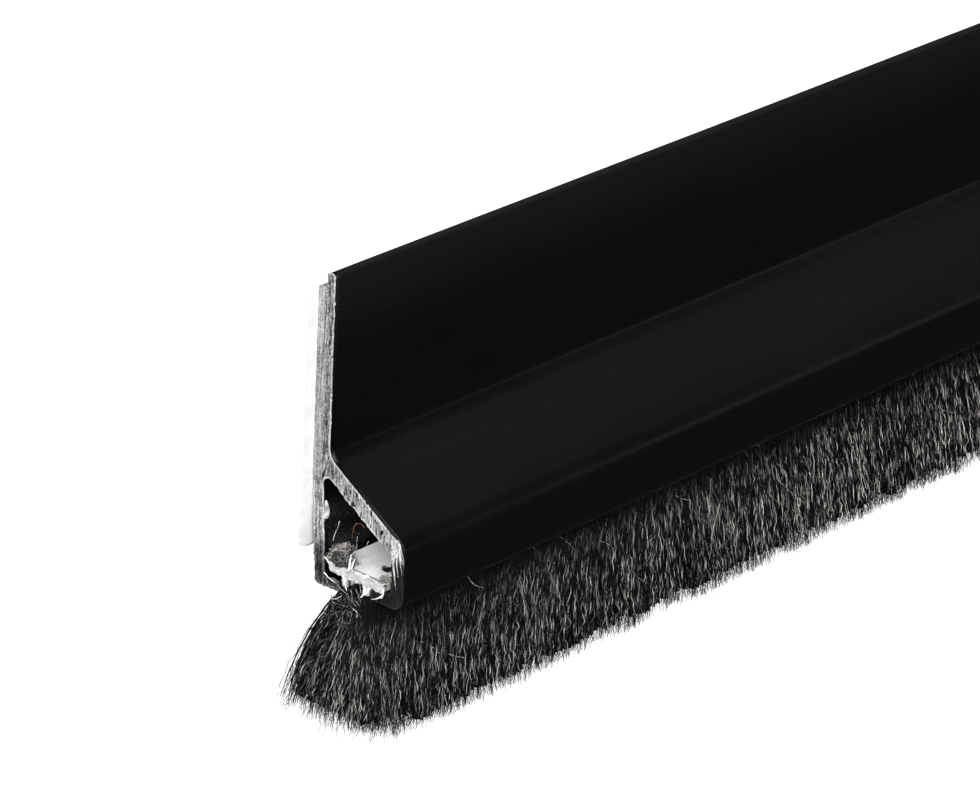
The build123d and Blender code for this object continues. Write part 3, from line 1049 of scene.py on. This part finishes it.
class STRIP_OT_core(bpy.types.Operator):
    """Fills the heart of the brush with a dark, finely ridged body

    It is a row of closed rings, one a station. Each flares as the pile does and stands out on every other
    station, and the rings near a cut end lean outwards.
    """
    bl_idname = "strip.core"
    bl_label = "Brush core"

    def execute(self, context):
        slot_half = context.scene.strip_carrier.slot / 2 - 0.3 * MM
        tip_half = BRUSH_HALF - 0.75 * MM
        foot = PILE_LOW[2] + 0.6 * MM
        heights = np.r_[BACKING_LOW[2], MOUTH + 0.2 * MM, np.linspace(MOUTH, foot, 5)]
        down = np.clip((MOUTH - heights) / (MOUTH - foot), 0, 1)
        stations = np.arange(NEAR_END + 0.3 * MM, FAR_END - 0.3 * MM, 0.3 * MM)[:, None]
        ridge = 0.2 * MM * np.where(np.arange(len(stations))[:, None] % 2, 1, -1)
        ridge = ridge + 0.1 * MM * waves(stations, 71, 7, 30 * MM, 2.2 * MM)
        ends = np.clip(1 - np.minimum(stations - NEAR_END, FAR_END - stations) / (7 * MM), 0, 1) ** 1.6
        x = stations + np.where(stations < 0, -1, 1) * ends * (3.4 * MM) * down ** 0.8
        z = heights + (ends * 1.8 * MM + 0.22 * MM * waves(stations, 72, 6, 9 * MM, 1.2 * MM)) * down ** 2
        half = slot_half + (tip_half - slot_half) * flare(down) + ridge * down
        front = np.stack([x, BRUSH_MIDDLE - half, z], -1)
        back = np.stack([x, BRUSH_MIDDLE + half, z], -1)
        heap = Heap().add(*closed_tube(np.concatenate([front, back[:, ::-1]], 1)))
        heap.piece("brush_core", [dark_pile(context.scene.strip_pile)], "charcoal_pile", ["brush_pile"])
        return {"FINISHED"}


class STRIP_OT_near_pile(bpy.types.Operator):
    """Sets the crimped filaments of the photographed end, fanned out where the strip was cut"""
    bl_idname = "strip.near_pile"
    bl_label = "Near filaments"

    def execute(self, context):
        sizes = context.scene.strip_pile
        material = filament("Charcoal filament", sizes.dark, sizes.pale)
        count = sizes.near_count
        part = np.linspace(0, 1, FILAMENT_RINGS)
        # Each layer fills the pile from its front to a depth, and gives a share of itself to the fan
        layers = ((-0.86, 0.12), (-0.76, 0.12), (-0.6, 0.17), (0.2, 0.43))
        for number, (depth, fan_share) in enumerate(layers):
            random = np.random.default_rng(100 + number)
            fan = int(count * fan_share)
            spread = random.uniform(0, 1, count - fan)
            spread = (spread + 0.3 * np.clip(spread / 0.15 - 0.85 / 0.15, 0, 1) ** 2) * sizes.near_length
            x = NEAR_END + np.r_[random.uniform(0, 1, fan) ** 1.3 * FAN, spread]
            across = np.r_[random.uniform(-1, 1, fan), random.uniform(-1.0, depth, count - fan)]
            line = pile_lines(random, x[:, None], across[:, None], FILAMENT_RINGS, sizes)
            along = np.clip((x - NEAR_END) / (60 * MM), 0, 1)[:, None]
            glint = glints(random, count, FILAMENT_RINGS, 0.43, 0.18)
            # Painted light: glints are dimmer near the cut end and high up, brighter further along the strip.
            glint *= 0.95 + 0.5 * (along - 0.5) * (1.5 - part)
            stout = random.uniform(0.55, 1.05, (count, 1)) + 0.2 * glint.max(1, keepdims=True)
            radius = sizes.thickness / 2 * stout * (1 - 0.35 * part ** 8)
            make_strands(f"near_filaments_{number + 1}", line, radius, glint, material)
        return {"FINISHED"}


class STRIP_OT_loose(bpy.types.Operator):
    """Tangles loose filaments round the root of the fan, and lets a few stand off its outline"""
    bl_idname = "strip.loose"
    bl_label = "Loose filaments"

    def execute(self, context):
        sizes = context.scene.strip_pile
        material = filament("Loose filament", sizes.dark, sizes.pale)
        random = np.random.default_rng(600)
        count, rings = 110, 16
        low, high = at_near_end(-1.3, -6.6, -20.2), at_near_end(0.2, -3.2, -17.3)
        places = random.uniform(low, high, (count, 3))
        lines = looping_lines(random, places, random.uniform(0.8, 2.4, (count, 1)) * MM, rings, 0.22)
        radius = random.uniform(0.018, 0.034, (count, 1)) * MM
        glint = random.beta(0.6, 1.5, (count, 1)) + random.normal(0, 0.14, (count, rings))
        make_strands("loose_filaments", lines, radius, np.clip(glint, 0, 1) * 0.9, material)

        # Hairs that cross the others, along the front and over the fan. The figures are in millimetres
        rings = 18
        part = np.linspace(0, 1, rings)
        for name, count in (("crossing_front", 80), ("crossing_end", 24)):
            first, run = random.uniform(0.05, 0.6, (count, 1)), random.uniform(0.12, 0.4, (count, 1))
            down = np.clip(first + run * part, 0, 0.98)
            bow = random.normal(0, 0.5, (count, 1)) * np.sin(math.pi * part)
            drift = random.normal(0, 1.5, (count, 1)) * part + bow + random.normal(0, 0.05, (count, rings))
            half = 1.6 + 3.0 * flare(down)
            lift = random.uniform(0.05, 0.3, (count, 1))
            if name == "crossing_front":
                place = random.uniform(-1, 80, (count, 1))
                x = place + drift - 3.5 * down * np.clip(1 - place / 9, 0, 1)
                y = BRUSH_MIDDLE / MM - half - lift
            else:
                x = -5.6 * down ** 0.85 - lift
                y = BRUSH_MIDDLE / MM + random.uniform(-0.9, 0.5, (count, 1)) * half + drift
            line = at_near_end(x, y, (MOUTH + (TIPS - MOUTH) * down) / MM)
            bright = random.uniform(0.3, 1, (count, 1))
            glint = bright * np.clip(1 + random.normal(0, 0.4, (count, rings)), 0.1, 1.4)
            radius = random.uniform(0.018, 0.03, (count, 1)) * MM
            make_strands(name, line, radius, np.clip(glint * 0.6, 0, 1), material)
        return {"FINISHED"}


class STRIP_OT_far_pile(bpy.types.Operator):
    """Carries the brush on to the far end in coarser tufts, front and back"""
    bl_idname = "strip.far_pile"
    bl_label = "Far tufts"

    def execute(self, context):
        sizes = context.scene.strip_pile
        material = filament("Charcoal tuft", sizes.dark, sizes.pale)
        count = sizes.far_count
        half = (FAR_END - NEAR_END) / 2
        part = np.linspace(0, 1, TUFT_RINGS)
        for number in range(2):
            random = np.random.default_rng(200 + number)
            fan = int(count * 0.04) * number
            x = np.r_[FAR_END - random.uniform(0, 1, fan) ** 1.3 * FAN,
                      NEAR_END + half * number + random.uniform(0, half, count - fan)]
            across = np.where(random.uniform(0, 1, count) < 0.58, -1, 1) * random.uniform(0.72, 1, count)
            across[:fan] = random.uniform(-1, 1, fan)
            # Where the near filaments stand, the tufts keep to the back
            thinning = NEAR_END + (0.85 + 0.25 * random.uniform(0, 1, count)) * sizes.near_length
            across = np.where(x < thinning, np.abs(across), across)
            line = pile_lines(random, x[:, None], across[:, None], TUFT_RINGS, sizes)
            radius = sizes.tuft / 2 * random.uniform(0.5, 1.2, (count, 1)) * (1 - 0.6 * part ** 4)
            glint = glints(random, count, TUFT_RINGS, 0.5, 0.1) * 0.65
            make_strands(f"far_tufts_{number + 1}", line, radius, glint, material)
        return {"FINISHED"}


class STRIP_OT_stage(bpy.types.Operator):
    """Sets the pale floor, the soft lamps and the camera of the photograph"""
    bl_idname = "strip.stage"
    bl_label = "Stage"

    def execute(self, context):
        scene = context.scene
        scene.view_settings.view_transform = "Standard"
        bpy.ops.mesh.primitive_plane_add(size=FLOOR_SIZE, location=(0, 0, TIPS))
        floor = context.object
        floor.name = "pale_floor"
        paint = Paint("Pale floor")
        seen = paint.add("ShaderNodeLightPath", output="Is Camera Ray")
        # A dark card before the hood, which the camera doesn't see and the black plastic mirrors
        ahead, before = paint.axis("X"), paint.axis("Y") * -1.0
        card = ahead.step(NEAR_END - 12 * MM, NEAR_END) * before.step(-9 * MM, 3 * MM)
        grey = paint.scaled((0.45, 0.45, 0.45), 1.0 - card * (1.0 - seen) * 0.9)
        diffuse = paint.add("ShaderNodeBsdfDiffuse", None, {"Color": grey})
        glow = paint.add("ShaderNodeEmission", None, {"Color": (1, 1, 1, 1), "Strength": seen * 0.80})
        both = paint.add("ShaderNodeAddShader", None, [diffuse, glow])
        paint.add("ShaderNodeOutputMaterial", None, {"Surface": both})
        floor.data.materials.append(paint.block)

        world = Paint("Studio", "worlds", "Generated")
        overhead = world.axis("Z").step(0.42, 0.85)
        sky = world.mix(overhead, (0.045, 0.045, 0.047), (0.36, 0.36, 0.365))
        seen = world.add("ShaderNodeLightPath", output="Is Camera Ray")
        ground = world.add("ShaderNodeBackground", None, {"Color": world.mix(seen, sky, (1, 1, 1))})
        world.add("ShaderNodeOutputWorld", None, {"Surface": ground})
        scene.world = world.block

        aim = Vector((NEAR_END + 0.04, 0, 0))
        for name, place, side, power in LAMPS:
            lamp = bpy.data.lights.new(name, "AREA")
            lamp.size = side
            lamp.energy = power
            holder = linked(name, lamp)
            holder.location = place
            holder.rotation_euler = (aim - Vector(place)).to_track_quat("-Z", "Y").to_euler()

        sizes = scene.strip_photograph
        camera = bpy.data.cameras.new("camera")
        camera.sensor_width = SENSOR
        camera.lens = sizes.focal * SENSOR / PHOTO_WIDTH
        camera.clip_start = 0.02
        holder = linked("camera", camera)
        azimuth, elevation, roll = sizes.azimuth, sizes.elevation, sizes.roll
        back = np.array([math.sin(azimuth) * math.cos(elevation), -math.cos(azimuth) * math.cos(elevation),
                         math.sin(elevation)])
        right = np.array([math.cos(azimuth), math.sin(azimuth), 0])
        up = np.cross(back, right)
        side = math.cos(roll) * right + math.sin(roll) * up
        top = -math.sin(roll) * right + math.cos(roll) * up
        place = np.array([NEAR_END, 0, 0]) + np.array(sizes.place)
        holder.matrix_world = Matrix([*zip(side, top, back, place), (0, 0, 0, 1)])
        scene.camera = holder
        return {"FINISHED"}


GROUPS = {
    "strip_carrier": StripCarrierSizes,
    "strip_tape": StripTapeSizes,
    "strip_pile": StripPileSizes,
    "strip_photograph": StripPhotograph,
}
OPERATORS = (STRIP_OT_carrier, STRIP_OT_flaps, STRIP_OT_tape, STRIP_OT_liner, STRIP_OT_backing,
             STRIP_OT_fluff, STRIP_OT_lumps, STRIP_OT_core, STRIP_OT_near_pile, STRIP_OT_loose,
             STRIP_OT_far_pile, STRIP_OT_stage)


class STRIP_PT_panel(bpy.types.Panel):
    """Lists the steps that dress the strip"""
    bl_idname = "STRIP_PT_panel"
    bl_label = "Draught strip"
    bl_space_type = "VIEW_3D"
    bl_region_type = "UI"
    bl_category = "Strip"

    def draw(self, context):
        for operator in OPERATORS:
            self.layout.operator(operator.bl_idname)


CLASSES = (*GROUPS.values(), *OPERATORS, STRIP_PT_panel)


def register():
    """Registers the classes and puts each group of sizes on the scene."""
    for kind in CLASSES:
        bpy.utils.register_class(kind)
    for name, group in GROUPS.items():
        setattr(bpy.types.Scene, name, PointerProperty(type=group))


def unregister():
    """Takes the groups and the classes away again."""
    for name in GROUPS:
        delattr(bpy.types.Scene, name)
    for kind in reversed(CLASSES):
        bpy.utils.unregister_class(kind)


def main():
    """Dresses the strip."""
    register()
    bpy.ops.strip.carrier()
    bpy.ops.strip.flaps()
    bpy.ops.strip.tape()
    bpy.ops.strip.liner()
    bpy.ops.strip.backing()
    bpy.ops.strip.fluff()
    bpy.ops.strip.lumps()
    bpy.ops.strip.core()
    bpy.ops.strip.near_pile()
    bpy.ops.strip.loose()
    bpy.ops.strip.far_pile()
    bpy.ops.strip.stage()


if __name__ == "__main__":
    main()
